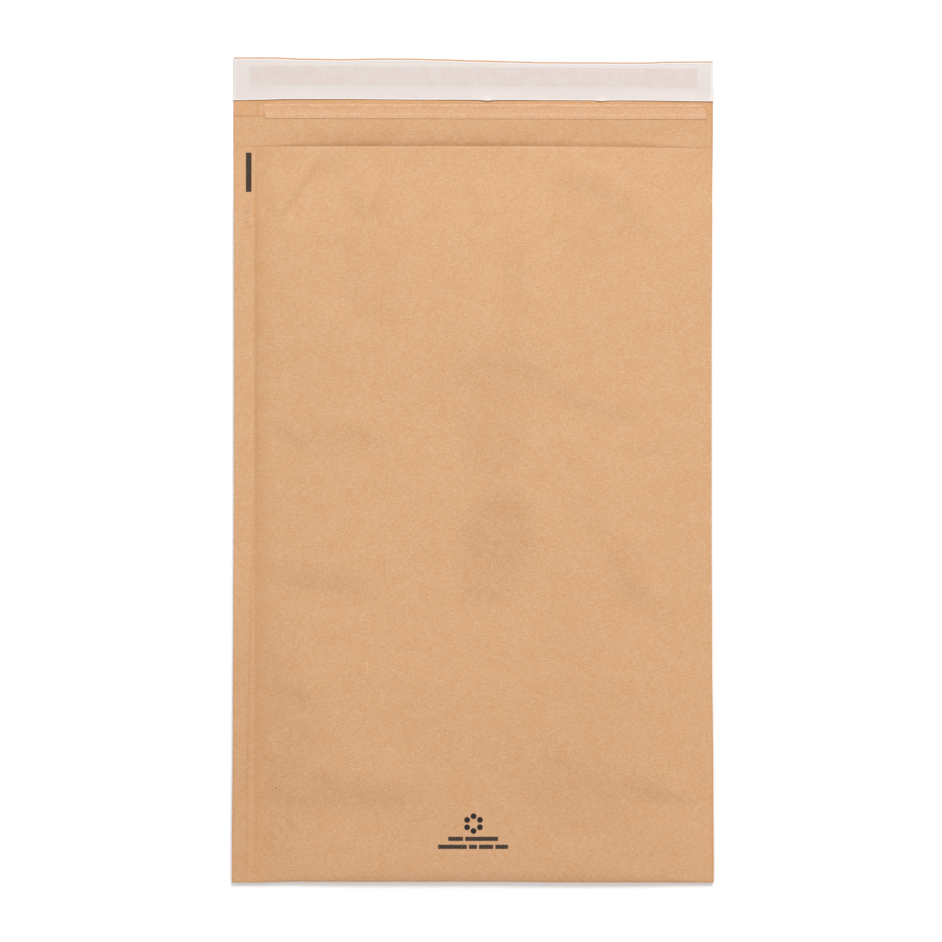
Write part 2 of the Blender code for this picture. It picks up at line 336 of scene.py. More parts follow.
def flap_ply(x, y):
    """The flap comes up out of the mouth's hollow and then lies level, with slow waves along its free edge."""
    d = np.maximum(y - Y_MOUTH, 0)
    side = ramp(x, -130, -104) * (1 - ramp(x, 98, 122))
    up = (0.16 + 0.26 * side + 0.32 * hollow(x)) * (1 - np.exp(-d / 3.4))
    away = ramp(y, Y_MOUTH + 6, Y_FLAP)
    wave = 0.16 * np.sin(x / 21.0 + 0.6) + 0.10 * np.sin(x / 9.3 + 2.0) + 0.05
    ridge = 0.10 * np.exp(-(((x - (STRIP_LO[0] - 2.6 + 0.03 * (STRIP_HI[1] - y))) / 0.45) ** 2)) * ramp(y, 195.5, 197.0) * (1 - ramp(y, 204, 205.5))
    return PLY / 2 + 0.01 + up + away * wave + ridge


# ---------------------------------------------------------------- mesh building

def solid_sheet(name, points, thickness, uv):
    """A closed sheet from a grid of points on its middle surface, as thick as it says at each point."""
    p = np.asarray(points, float)
    rows, cols = p.shape[:2]
    du = np.gradient(p, axis=1)
    dv = np.gradient(p, axis=0)
    n = np.cross(du, dv)
    n /= np.maximum(np.linalg.norm(n, axis=2, keepdims=True), 1e-12)
    t = np.broadcast_to(np.asarray(thickness, float), (rows, cols))[..., None] / 2
    verts = np.concatenate([(p + n * t).reshape(-1, 3), (p - n * t).reshape(-1, 3)]) * MM
    index = np.arange(rows * cols).reshape(rows, cols)
    a, b, c, d = index[:-1, :-1], index[:-1, 1:], index[1:, 1:], index[1:, :-1]
    upper = np.stack([a, b, c, d], -1).reshape(-1, 4)
    lower = np.stack([a, d, c, b], -1).reshape(-1, 4) + rows * cols
    rim = np.concatenate([index[0, :], index[1:, -1], index[-1, -2::-1], index[-2:0:-1, 0]])
    nxt = np.roll(rim, -1)
    side = np.stack([rim, rim + rows * cols, nxt + rows * cols, nxt], -1)
    faces = np.concatenate([upper, lower, side])
    mesh = bpy.data.meshes.new(name)
    mesh.from_pydata(verts.tolist(), [], faces.tolist())
    flat = np.concatenate([uv.reshape(-1, 2), uv.reshape(-1, 2)])
    layer = mesh.uv_layers.new(name="sheet")
    layer.data.foreach_set("uv", flat[faces.reshape(-1)].astype(np.float32).reshape(-1))
    mesh.update()
    mesh.shade_smooth()
    mesh.set_sharp_from_angle(angle=np.radians(50))
    piece = bpy.data.objects.new(name, mesh)
    bpy.context.scene.collection.objects.link(piece)
    return piece


def uneven(lo, hi, step, fine=()):
    """Stations from lo to hi, closer together inside each (start, end, step) of fine."""
    out = [lo]
    while out[-1] < hi - 1e-6:
        s = step
        for f0, f1, fs in fine:
            if f0 <= out[-1] < f1:
                s = min(s, fs)
        out.append(min(hi, out[-1] + s))
    if out[-1] - out[-2] < 0.3 * step and len(out) > 2:
        out.pop(-2)
    return np.array(out)


NOSE_ANGLES = np.radians([-78, -60, -42, -24, -8, 8, 24, 42, 60, 78])


def folded(columns, body_rows, back_rows, low, high, inset, nose_start, nose_radius, top_end, tail):
    """Rows of points of a sheet folded round the bottom: tail and back panel, the fold, the front panel.

    columns are unit positions across, low(x, y) and high(x, y) are the heights of the two leaves,
    and the returned uv has y + 1 m on the back so that the two leaves can differ.
    """
    rows, uvs = [], []
    x_at = lambda y: left_edge(y) + inset + (right_edge(y) - left_edge(y) - 2 * inset) * columns
    for x, y, z in tail:
        rows.append(np.stack([x, y, z], -1))
        uvs.append(np.stack([x * MM, y * MM + 1.0], -1))
    for v in back_rows:
        y = np.full(columns.shape, v)
        x = x_at(y)
        rows.append(np.stack([x, y, low(x, y)], -1))
        uvs.append(np.stack([x * MM, y * MM + 1.0], -1))
    x0 = x_at(np.full(columns.shape, Y_FOLD))
    start = bottom(x0) + nose_start
    y_full = start + nose_radius
    h = (high(x0, y_full) - low(x0, y_full)) / 2
    c = (high(x0, y_full) + low(x0, y_full)) / 2
    for a in NOSE_ANGLES:
        y = start + nose_radius * (1 - np.cos(a))
        rows.append(np.stack([x0, y, c + h * np.sin(a)], -1))
        uvs.append(np.stack([x0 * MM, y * MM + (1.0 if a < 0 else 0.0)], -1))
    for v in body_rows:
        y_end = top_end(x_at(np.full(columns.shape, Y_MOUTH)))
        y = y_full + (y_end - y_full) * v
        x = x_at(y)
        rows.append(np.stack([x, y, high(x, y)], -1))
        uvs.append(np.stack([x * MM, y * MM], -1))
    return np.array(rows), np.array(uvs)


# ---------------------------------------------------------------- materials

class Paint:
    """Short calls that build one procedural material."""

    def __init__(self, name, roughness, specular=0.5):
        self.material = bpy.data.materials.new(name)
        self.material.use_nodes = True
        self.tree = self.material.node_tree
        self.tree.nodes.clear()
        self.out = self.tree.nodes.new("ShaderNodeOutputMaterial")
        self.shader = self.tree.nodes.new("ShaderNodeBsdfPrincipled")
        self.shader.inputs["Roughness"].default_value = roughness
        self.shader.inputs["Specular IOR Level"].default_value = specular
        self.tree.links.new(self.shader.outputs[0], self.out.inputs["Surface"])
        uv = self.tree.nodes.new("ShaderNodeUVMap")
        uv.uv_map = "sheet"
        self.uv = uv.outputs[0]
        split = self.tree.nodes.new("ShaderNodeSeparateXYZ")
        self.tree.links.new(self.uv, split.inputs[0])
        self.u, self.v = split.outputs[0], split.outputs[1]

    def put(self, socket, value):
        if isinstance(value, bpy.types.NodeSocket):
            self.tree.links.new(value, socket)
        else:
            socket.default_value = value

    def math(self, op, a, b=0.0, clamp=False):
        n = self.tree.nodes.new("ShaderNodeMath")
        n.operation, n.use_clamp = op, clamp
        self.put(n.inputs[0], a)
        self.put(n.inputs[1], b)
        return n.outputs[0]

    def stretch(self, sx, sy, turn=0.0, ox=0.0, oy=0.0):
        n = self.tree.nodes.new("ShaderNodeMapping")
        self.tree.links.new(self.uv, n.inputs["Vector"])
        n.inputs["Scale"].default_value = (sx, sy, 1)
        n.inputs["Rotation"].default_value = (0, 0, turn)
        n.inputs["Location"].default_value = (ox, oy, 0)
        return n.outputs[0]

    def noise(self, scale, detail=2.0, rough=0.5, twist=0.0, vector=None):
        n = self.tree.nodes.new("ShaderNodeTexNoise")
        n.noise_dimensions = "2D"
        self.tree.links.new(vector or self.uv, n.inputs["Vector"])
        n.inputs["Scale"].default_value = scale
        n.inputs["Detail"].default_value = detail
        n.inputs["Roughness"].default_value = rough
        n.inputs["Distortion"].default_value = twist
        return n.outputs[0]

    def remap(self, value, lo, hi, a=0.0, b=1.0, smooth=True):
        n = self.tree.nodes.new("ShaderNodeMapRange")
        n.interpolation_type = "SMOOTHSTEP" if smooth else "LINEAR"
        n.clamp = True
        self.put(n.inputs[0], value)
        for i, w in enumerate((lo, hi, a, b), 1):
            n.inputs[i].default_value = w
        return n.outputs[0]

    def mix(self, share, a, b):
        n = self.tree.nodes.new("ShaderNodeMix")
        n.data_type, n.clamp_factor = "RGBA", True
        self.put(n.inputs[0], share)
        for socket, value in ((n.inputs[6], a), (n.inputs[7], b)):
            self.put(socket, value if isinstance(value, bpy.types.NodeSocket) else (*value, 1.0))
        return n.outputs[2]

    def vary(self, colour, noise, amounts):
        """colour + (noise - 0.5) * amounts, channel by channel."""
        n = self.tree.nodes.new("ShaderNodeVectorMath")
        n.operation = "MULTIPLY_ADD"
        self.tree.links.new(self.math("SUBTRACT", noise, 0.5), n.inputs[0])
        n.inputs[1].default_value = amounts
        self.put(n.inputs[2], colour)
        return n.outputs[0]

    def box(self, x, y, half_x, half_y, soft=0.00025):
        """1 inside an upright rectangle of the sheet, in metres."""
        dx = self.math("ABSOLUTE", self.math("SUBTRACT", self.u, x))
        dy = self.math("ABSOLUTE", self.math("SUBTRACT", self.v, y))
        return self.math(
            "MULTIPLY",
            self.remap(dx, half_x + soft, half_x - soft),
            self.remap(dy, half_y + soft, half_y - soft),
        )

    def disc(self, x, y, radius, soft=0.0002):
        dx = self.math("POWER", self.math("SUBTRACT", self.u, x), 2)
        dy = self.math("POWER", self.math("SUBTRACT", self.v, y), 2)
        d = self.math("SQRT", self.math("ADD", dx, dy))
        return self.remap(d, radius + soft, radius - soft)

    def oval(self, x, y, rx, ry, turn=0.0):
        """1 in the middle of an oval patch of the sheet, fading out to 0 at its edge."""
        c, s = float(np.cos(np.radians(turn))), float(np.sin(np.radians(turn)))
        dx, dy = self.math("SUBTRACT", self.u, x), self.math("SUBTRACT", self.v, y)
        along = self.math("ADD", self.math("MULTIPLY", dx, c / rx), self.math("MULTIPLY", dy, s / rx))
        cross = self.math("SUBTRACT", self.math("MULTIPLY", dy, c / ry), self.math("MULTIPLY", dx, s / ry))
        return self.remap(self.math("ADD", self.math("POWER", along, 2), self.math("POWER", cross, 2)), 1.35, 0.15)

    def fold_line(self, x0, y0, x1, y1, half):
        """A fine line on the sheet, fading at both ends, and another close beside it on its upper side: the painted
        shade and painted highlight of a small fold.
        """
        length = float(np.hypot(x1 - x0, y1 - y0))
        c, s = (x1 - x0) / length, (y1 - y0) / length
        if c < 0:
            x0, y0, c, s = x1, y1, -c, -s
        dx, dy = self.math("SUBTRACT", self.u, x0), self.math("SUBTRACT", self.v, y0)
        along = self.math("ADD", self.math("MULTIPLY", dx, c / length), self.math("MULTIPLY", dy, s / length))
        across = self.math("SUBTRACT", self.math("MULTIPLY", dy, c), self.math("MULTIPLY", dx, s))
        ends = self.math("MULTIPLY", self.remap(along, 0.0, 0.3), self.remap(along, 1.0, 0.7))
        dark = self.remap(self.math("ABSOLUTE", across), half, 0.15 * half)
        pale = self.remap(self.math("ABSOLUTE", self.math("SUBTRACT", across, 1.5 * half)), half, 0.15 * half)
        return self.math("MULTIPLY", dark, ends), self.math("MULTIPLY", pale, ends)

    def finish(self, colour, height=None, strength=0.2, distance=0.0002):
        self.put(self.shader.inputs["Base Color"], colour)
        if height is not None:
            bump = self.tree.nodes.new("ShaderNodeBump")
            bump.inputs["Strength"].default_value = strength
            bump.inputs["Distance"].default_value = distance
            self.tree.links.new(height, bump.inputs["Height"])
            self.tree.links.new(bump.outputs[0], self.shader.inputs["Normal"])
        return self.material


def srgb(*rgb):
    v = np.array(rgb) / 255.0
    return tuple(float(c) for c in np.where(v <= 0.04045, v / 12.92, ((v + 0.055) / 1.055) ** 2.4))


GAIN = 0.817     # the light on a level surface is over 1, as in a bright studio, so colours are set under


def lit(*rgb):
    return tuple(c * GAIN for c in srgb(*rgb))


def fibres(p, colour, strength=1.0):
    """The grain of kraft paper: fine speckle, tan and orange mottle, and short fibres."""
    s = strength
    colour = p.vary(colour, p.noise(1500, 1.0, 0.6), tuple(s * a for a in (0.192, 0.194, 0.140)))
    colour = p.vary(colour, p.noise(620, 3.0, 0.65, 0.4), tuple(s * a for a in (0.068, 0.102, 0.104)))
    colour = p.vary(colour, p.noise(210, 3.0, 0.6, 0.8), tuple(s * a for a in (0.032, 0.058, 0.066)))
    colour = p.vary(colour, p.noise(70, 2.0, 0.5, 0.4), tuple(s * a for a in (0.015, 0.028, 0.034)))
    for turn, ox in ((0.35, 3.1), (-0.9, 7.7), (1.4, 5.3)):
        hair = p.noise(1.0, 2.0, 0.55, 0.3, p.stretch(330, 1900, turn, ox, ox))
        colour = p.vary(colour, p.remap(hair, 0.56, 0.74, 0.5, 1.0), tuple(s * a for a in (-0.030, -0.042, -0.040)))
        colour = p.vary(colour, p.remap(hair, 0.44, 0.28, 0.5, 1.0), tuple(s * a for a in (0.024, 0.034, 0.034)))
    return colour


def paper_relief(p):
    a = p.noise(900, 3.0, 0.6)
    b = p.noise(240, 2.0, 0.5, 0.5)
    return p.math("ADD", p.math("MULTIPLY", a, 0.6), p.math("MULTIPLY", b, 0.4))


INK = lit(46, 39, 39)


def kraft_outer():
    p = Paint("kraft_outer", 0.82, 0.25)
    colour = p.mix(p.noise(9.0, 2.0, 0.5), lit(223, 175.5, 131), lit(220, 172, 128.5))
    # the kraft is a little darker and deeper in tone towards the bottom
    colour = p.mix(p.remap(p.v, 0.10, -0.24), colour, lit(219.5, 170.5, 127))
    # grey fibres of the filling show through where the front lies close on it (the first three patches); the other,
    # warmer patches are painted shade laid along creases and dents
    patch_mottle = p.noise(46, 3.0, 0.6, 0.5)
    for x, y, rx, ry, turn, share in (
        (0.0120, -0.0425, 0.0225, 0.0370, -16, 0.58),
        (0.0110, 0.0190, 0.0200, 0.0290, 0, 0.34),
        (0.0130, 0.0500, 0.0290, 0.0150, -6, 0.26),
        (0.0220, 0.0950, 0.0110, 0.0400, -5, 0.19),
        (-0.0540, 0.1180, 0.0220, 0.0480, 8, 0.18),
        (0.0680, 0.1380, 0.0320, 0.0260, -30, 0.24),
        (0.0860, -0.0560, 0.0130, 0.0230, 10, 0.24),
        (0.0620, -0.0950, 0.0300, 0.0200, -15, 0.14),
        (0.0560, -0.1800, 0.0320, 0.0250, -10, 0.26),
        (0.0960, -0.1760, 0.0150, 0.0090, -20, 0.26),
        (-0.0800, -0.1785, 0.0520, 0.0125, -3, 0.26),
        (-0.0860, -0.0590, 0.0360, 0.0095, -6, 0.26),
        (-0.0780, 0.0180, 0.0380, 0.0120, -8, 0.18),
    ):
        near = p.math("MULTIPLY", p.oval(x, y, rx, ry, turn), p.remap(patch_mottle, 0.22, 0.62, 0.55, 0.92))
        # grey for the fibre patches, a warmer painted shade for the rest
        colour = p.mix(p.math("MULTIPLY", near, 0.78 * share), colour, lit(204, 157, 118) if abs(x - 0.012) < 0.002 else lit(204, 154.5, 113))
    # painted shade: the bottom left corner is darkened where the light falls off
    corner_shade = p.math("MULTIPLY", p.oval(-0.1290, -0.1650, 0.0480, 0.0880, 0), p.remap(p.noise(60, 2.0, 0.5), 0.25, 0.65, 0.55, 1.0))
    colour = p.mix(p.math("MULTIPLY", corner_shade, 0.62), colour, lit(211, 162, 119.5))
    # past the tongue the flap's bare inside is a warmer kraft, paler beside the tape where its glue has spread
    bare = p.math("MULTIPLY", p.remap(p.v, 1.1962, 1.1968), p.remap(p.v, 1.2600, 1.2580))
    colour = p.mix(p.math("MULTIPLY", bare, 0.80), colour, lit(222, 169.5, 123.5))
    spread = p.box(-0.11735, 1.19985, 0.00145, 0.00325, 0.0002)
    colour = p.mix(p.math("MULTIPLY", spread, 0.75), colour, lit(228, 181, 142))
    spread = p.box(-0.11890, 1.19985, 0.00015, 0.00325, 0.00015)
    colour = p.mix(p.math("MULTIPLY", spread, 0.45), colour, lit(206, 150, 106))
    colour = fibres(p, colour)
    # painted shade: the crease at the left seal's inner edge, the second fold line in the seal and the slope rising
    # inside the seal are drawn in a darker, more saturated orange
    seam_shade = p.math("MULTIPLY", p.remap(p.math("ABSOLUTE", p.math("SUBTRACT", p.u, -0.1206)), 0.0013, 0.0002), p.remap(p.v, 0.178, 0.150))
    colour = p.mix(p.math("MULTIPLY", seam_shade, 0.30), colour, lit(214, 154, 98))
    away = p.math("ADD", p.u, p.remap(p.v, 0.020, -0.215, 0.1215, 0.1256))
    seal_fold_shade = p.math("MULTIPLY", p.remap(p.math("ABSOLUTE", away), 0.0011, 0.0001), p.remap(p.v, 0.015, -0.100))
    colour = p.mix(p.math("MULTIPLY", seal_fold_shade, 0.30), colour, lit(206, 146, 98))
    # painted shade on the padded slope just inside the left seal
    slope = p.math("MULTIPLY", p.remap(p.u, -0.1212, -0.1202), p.remap(p.u, -0.1080, -0.1205))
    slope = p.math("MULTIPLY", slope, p.remap(p.noise(95, 3.0, 0.6), 0.32, 0.66, 0.10, 0.40))
    colour = p.mix(slope, colour, lit(216, 158, 104))
    # painted shade: the outer left and right edges are darkened in orange where the paper turns away
    painted_edge = p.remap(p.math("ABSOLUTE", p.u), 0.13195, 0.13290)
    colour = p.mix(p.math("MULTIPLY", painted_edge, 0.40), colour, lit(206, 148, 98))
    # sharp little folds pressed into the paper, drawn as painted shade (a dark line) with a painted highlight (a pale
    # one) beside it
    for x0, y0, x1, y1, half, share in (
        (-0.1190, -0.1900, -0.1085, -0.2050, 0.00060, 0.24),
        (-0.1200, -0.1985, -0.1075, -0.2120, 0.00075, 0.26),
        (-0.1150, -0.1850, -0.1010, -0.2060, 0.00060, 0.15),
        (-0.1205, -0.2060, -0.1130, -0.2155, 0.00065, 0.22),
        (-0.1075, -0.1905, -0.0950, -0.2000, 0.00075, 0.12),
        (0.0455, -0.1570, 0.0560, -0.1685, 0.00070, 0.20),
        (0.1060, -0.1765, 0.1215, -0.1865, 0.00060, 0.32),
        (0.1120, -0.1760, 0.1215, -0.1815, 0.00055, 0.20),
        (0.0940, -0.1700, 0.1050, -0.1765, 0.00060, 0.18),
        (0.0800, 0.1690, 0.0950, 0.1620, 0.00060, 0.18),
        (0.0960, 0.1610, 0.1070, 0.1545, 0.00060, 0.18),
        (-0.0800, 0.1785, -0.1100, 0.1350, 0.00240, 0.17),
        (-0.0570, 0.1400, -0.0475, 0.1660, 0.00270, 0.13),
    ):
        dark, pale = p.fold_line(x0, y0, x1, y1, half)
        colour = p.mix(p.math("MULTIPLY", dark, share), colour, lit(196, 143, 99))
        colour = p.mix(p.math("MULTIPLY", pale, 0.7 * share), colour, lit(236, 190, 147))
    # the printed register mark on the left seal, its faint set-off below it
    worn = p.remap(p.noise(1700, 2.0, 0.7), 0.30, 0.62, 0.86, 1.0)
    mark = p.box(-0.12448, 0.16528, 0.00158, 0.01095, 0.0002)
    colour = p.mix(p.math("MULTIPLY", mark, worn), colour, INK)
    ghost = p.math("MULTIPLY", p.box(-0.1249, 0.1418, 0.0013, 0.0075, 0.0006), p.remap(p.noise(520, 2.0, 0.6), 0.52, 0.70))
    colour = p.mix(p.math("MULTIPLY", ghost, 0.46), colour, lit(150, 125, 130))
    # a plain printed device near the bottom: a ring of six blocks over two rows of blocks
    cx, cy = 0.00035, -0.19580
    for k in range(6):
        a = np.radians(30 + 60 * k)
        colour = p.mix(p.disc(cx + 0.0041 * np.cos(a), cy + 0.0041 * np.sin(a), 0.00165), colour, INK)
    for y, spans in (
        (-0.20430, ((-0.01370, -0.00540), (-0.00430, 0.01390))),
        (-0.20875, ((-0.01930, -0.00330), (-0.00220, 0.00230), (0.00330, 0.01130), (0.01240, 0.01950))),
    ):
        for a, b in spans:
            colour = p.mix(p.math("MULTIPLY", p.box((a + b) / 2, y, (b - a) / 2, 0.00120, 0.00025), worn), colour, INK)
    # a few dark specks in the pulp
    for x, y, r, share in ((-0.12640, 1.19130, 0.00032, 0.5), (-0.11555, 0.16580, 0.00030, 0.55), (-0.10920, -0.17630, 0.00042, 0.7), (0.08655, -0.19910, 0.00030, 0.5), (-0.0321, 0.1661, 0.00032, 0.6), (-0.0396, 0.0984, 0.00026, 0.5), (-0.0760, 0.1711, 0.00024, 0.5), (0.1237, 0.1743, 0.00024, 0.5), (0.0400, 0.0600, 0.00022, 0.4), (0.1112, 0.0112, 0.00036, 0.45), (-0.0350, -0.1330, 0.00022, 0.4)):
        colour = p.mix(p.math("MULTIPLY", p.disc(x, y, r, 0.00018), share), colour, lit(96, 66, 50))
    return p.finish(colour, paper_relief(p), 0.20, 0.00010)


def kraft_inner():
    p = Paint("kraft_inner", 0.85, 0.25)
    colour = p.mix(p.noise(11.0, 2.0, 0.5), lit(221, 173.5, 129.5), lit(218, 170, 127))
    colour = fibres(p, colour)
    # painted shade on the tongue at the mouth, where it dips under the front panel's edge
    mouth_shade = p.math("MULTIPLY", p.remap(p.v, 1.1925, 1.1800), p.math("MULTIPLY", p.remap(p.u, -0.1120, -0.0850), p.remap(p.u, 0.0720, 0.0380, 0.25, 1.0)))
    mouth_shade = p.math("MULTIPLY", mouth_shade, p.remap(p.math("ABSOLUTE", p.u), 0.1120, 0.0980))
    colour = p.mix(p.math("MULTIPLY", mouth_shade, p.remap(p.noise(95, 4.0, 0.65), 0.34, 0.62, 0.05, 0.46)), colour, lit(206, 149, 105))
    # painted shade: a dark orange line along the tongue's end, where its edge steps onto the flap
    end = p.math("MULTIPLY", p.remap(p.v, 1.19585, 1.19640), p.remap(p.v, 1.2100, 1.2090))
    colour = p.mix(p.math("MULTIPLY", end, 0.60), colour, lit(200, 143, 96))
    # painted shade along the outer left and right edges
    painted_edge = p.remap(p.math("ABSOLUTE", p.u), 0.13170, 0.13265)
    colour = p.mix(p.math("MULTIPLY", painted_edge, 0.35), colour, lit(206, 148, 98))
    return p.finish(colour, paper_relief(p), 0.20, 0.00010)


def kraft_tape():
    p = Paint("kraft_tape", 0.72, 0.35)
    colour = p.mix(p.noise(14.0, 2.0, 0.5), lit(227.5, 178, 137), lit(224.5, 174, 131.5))
    # the lower half is pressed onto glue and shows a pale, grainy bloom
    y0 = STRIP_LO[1] * MM
    bloom = p.math("MULTIPLY", p.remap(p.v, y0 + 0.0056, y0 + 0.0040), p.remap(p.noise(800, 2.5, 0.7), 0.36, 0.66))
    colour = p.mix(p.math("MULTIPLY", bloom, 0.62), colour, lit(219.5, 173.5, 137.5))
    # painted shade on the band below the ridge, on its side turned from the light
    ridge_shade = p.math("MULTIPLY", p.remap(p.v, y0 + 0.0050, y0 + 0.0057), p.remap(p.v, y0 + 0.0073, y0 + 0.0067))
    colour = p.mix(p.math("MULTIPLY", ridge_shade, 0.6), colour, lit(221, 169, 124))
    # painted highlight along the ridge near the tape's top edge
    ridge = p.remap(p.math("ABSOLUTE", p.math("SUBTRACT", p.v, y0 + 0.00745)), 0.00095, 0.00020)
    ridge = p.math("MULTIPLY", ridge, p.remap(p.noise(170, 3.0, 0.6), 0.34, 0.60))
    colour = p.mix(p.math("MULTIPLY", ridge, 0.55), colour, lit(236, 195, 161))
    colour = p.vary(colour, p.noise(330, 3.0, 0.7, 0.6), (0.040, 0.062, 0.066))
    colour = fibres(p, colour, 1.0)
    return p.finish(colour, paper_relief(p), 0.22, 0.00010)


def fluff():
    p = Paint("paper_fill", 0.95, 0.1)
    colour = p.mix(p.remap(p.noise(900, 4.0, 0.7, 0.6), 0.3, 0.7), lit(150, 128, 104), lit(206, 186, 160))
    colour = p.mix(p.remap(p.noise(420, 3.0, 0.7), 0.62, 0.72), colour, lit(110, 104, 100))
    return p.finish(colour, p.noise(1400, 4.0, 0.7), 0.9, 0.0004)


def hot_melt():
    p = Paint("hot_melt", 0.30, 0.5)
    colour = p.mix(p.noise(160, 3.0, 0.6), lit(222, 205, 182), lit(214, 196, 172))
    return p.finish(colour, p.noise(260, 3.0, 0.6), 0.5, 0.0002)


def liner_paper():
    p = Paint("siliconised_paper", 0.50, 0.4)
    mid = 0.5 * (LINER_LO[1] + LINER_HI[1]) * MM
    colour = p.mix(p.remap(p.v, mid - 0.004, mid + 0.011), lit(230, 219.5, 214.5), lit(231, 222, 218))
    colour = p.vary(colour, p.noise(1300, 2.0, 0.6), (0.085, 0.085, 0.090))
    colour = p.vary(colour, p.noise(380, 3.0, 0.6, 0.4), (0.030, 0.034, 0.040))
    colour = p.vary(colour, p.noise(120, 3.0, 0.6, 0.5), (0.020, 0.022, 0.026))
    # the adhesive below shows through as a warmer, blotchy field with rounded corners
    slope = p.math("MULTIPLY", p.u, -0.0074)
    run = p.math("SUBTRACT", p.v, slope)
    cx = 0.5 * (GLUE_LO[0] + GLUE_HI[0]) * MM
    cy = 0.5 * (GLUE_LO[1] + GLUE_HI[1]) * MM
    hx = 0.5 * (GLUE_HI[0] - GLUE_LO[0]) * MM
    hy = 0.5 * (GLUE_HI[1] - GLUE_LO[1]) * MM - 0.0006
    r = 0.0012
    qx = p.math("MAXIMUM", p.math("SUBTRACT", p.math("ABSOLUTE", p.math("SUBTRACT", p.u, cx)), hx - r), 0.0)
    qy = p.math("MAXIMUM", p.math("SUBTRACT", p.math("ABSOLUTE", p.math("SUBTRACT", run, cy)), hy - r), 0.0)
    d = p.math("SQRT", p.math("ADD", p.math("POWER", qx, 2), p.math("POWER", qy, 2)))
    field = p.remap(d, r + 0.00035, r - 0.00035)
    blotch = p.remap(p.noise(170, 4.0, 0.7, 0.6), 0.34, 0.64, 0.55, 1.0)
    colour = p.mix(p.math("MULTIPLY", field, blotch), colour, lit(225, 210, 202))
    # painted highlight along the liner's left and right edges
    painted_edge = p.remap(p.math("ABSOLUTE", p.u), 0.1312, 0.1330)
    colour = p.mix(p.math("MULTIPLY", painted_edge, 0.5), colour, lit(248, 244, 242))
    return p, colour


def finish_liner(p, colour):
    # the rim attribute paints a highlight along the liner's lower and upper edges
    rim = p.tree.nodes.new("ShaderNodeAttribute")
    rim.attribute_name = "rim"
    colour = p.mix(rim.outputs["Fac"], colour, lit(253, 250, 249))
    return p.finish(colour, p.noise(1100, 2.0, 0.5), 0.10, 0.00008)


# ---------------------------------------------------------------- pieces

def own(piece, slot, *nodes):
    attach(piece, "root")
    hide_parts(*nodes)
    return piece


def unit(columns_mm):
    lo, hi = columns_mm[0], columns_mm[-1]
    return (columns_mm - lo) / (hi - lo)


def make_wrapper():
    cols = unit(uneven(-133.4, 133.4, 2.5, ((-133.4, -130.5, 0.6), (-127.5, -117.0, 0.8), (-117, -96, 1.3), (128.0, 133.4, 0.7))))
    front_rows = uneven(0.0, 1.0, 2.4 / 406, ((0.0, 0.012, 0.7 / 406), (0.012, 0.125, 1.25 / 406), (0.985, 1.0, 0.9 / 406)))[1:]
    back_rows = uneven(Y_FOLD + 3.2, Y_MOUTH, 4.6, ((Y_FOLD, Y_FOLD + 9, 1.5), (Y_MOUTH - 8, Y_MOUTH, 1.6)))[::-1]
    tail = []
    shares = uneven(0.0, 1.0, 0.030, ((0.28, 0.40, 0.012), (0.97, 1.0, 0.01)))[::-1][:-1]
    for s in shares:
        y_guess = Y_MOUTH + s * (Y_FLAP - Y_MOUTH)
        x = left_edge(np.array(y_guess)) + (right_edge(np.array(y_guess)) - left_edge(np.array(y_guess))) * cols
        y = Y_MOUTH + s * (flap_edge(x) - Y_MOUTH)
        join = ramp(y, Y_MOUTH - 1, Y_MOUTH + 7)
        z = np.maximum(back(x, np.full(x.shape, Y_MOUTH)) * (1 - join), flap_ply(x, y))
        tail.append((x, y, z))
    points, uv = folded(cols, front_rows, back_rows, back, front, 0.0, 0.0, 1.7, mouth, tail)
    piece = solid_sheet("wrapper_sheet", points, PLY, uv)
    piece.data.materials.append(kraft_outer())
    return own(piece, "kraft_outer", "outer_wrapper")


def tongue_height(x, y):
    """The inner ply dips at the mouth and then lies on the flap."""
    landed = flap_ply(x, y) + PLY / 2 + 0.03 + LINING_PLY / 2
    d = y - Y_MOUTH
    start = lining_low(x, np.full(np.shape(x), Y_MOUTH))
    rest = landed + 0.10 * hollow(x) * np.exp(-(((d - 9) / 5.0) ** 2))
    share = ramp(d, -1.5, 7.5)
    pucker = (0.05 * np.sin(x / 5.1 + 0.8) + 0.06 * np.sin(x / 12.7)) * np.exp(-(((d - 3.0) / 2.6) ** 2)) * hollow(x)
    sliver = -0.22 * np.exp(-(((x + 13.5) / 5.0) ** 2)) * np.exp(-(((d - 0.9 + 0.12 * (x + 13.5)) / 0.55) ** 2))
    notch = -0.20 * np.exp(-np.maximum(d + 0.2, 0) / 0.9) * hollow(x)
    slack = (0.05 * np.sin(x / 8.3 + 2.1) + 0.035 * np.sin(x / 3.9 + 0.4)) * np.exp(-(((d - 6.5) / 3.4) ** 2)) * hollow(x)
    return np.maximum(start * (1 - share) + rest * share + pucker + sliver + notch + slack, landed * ramp(d, -1.5, 0))


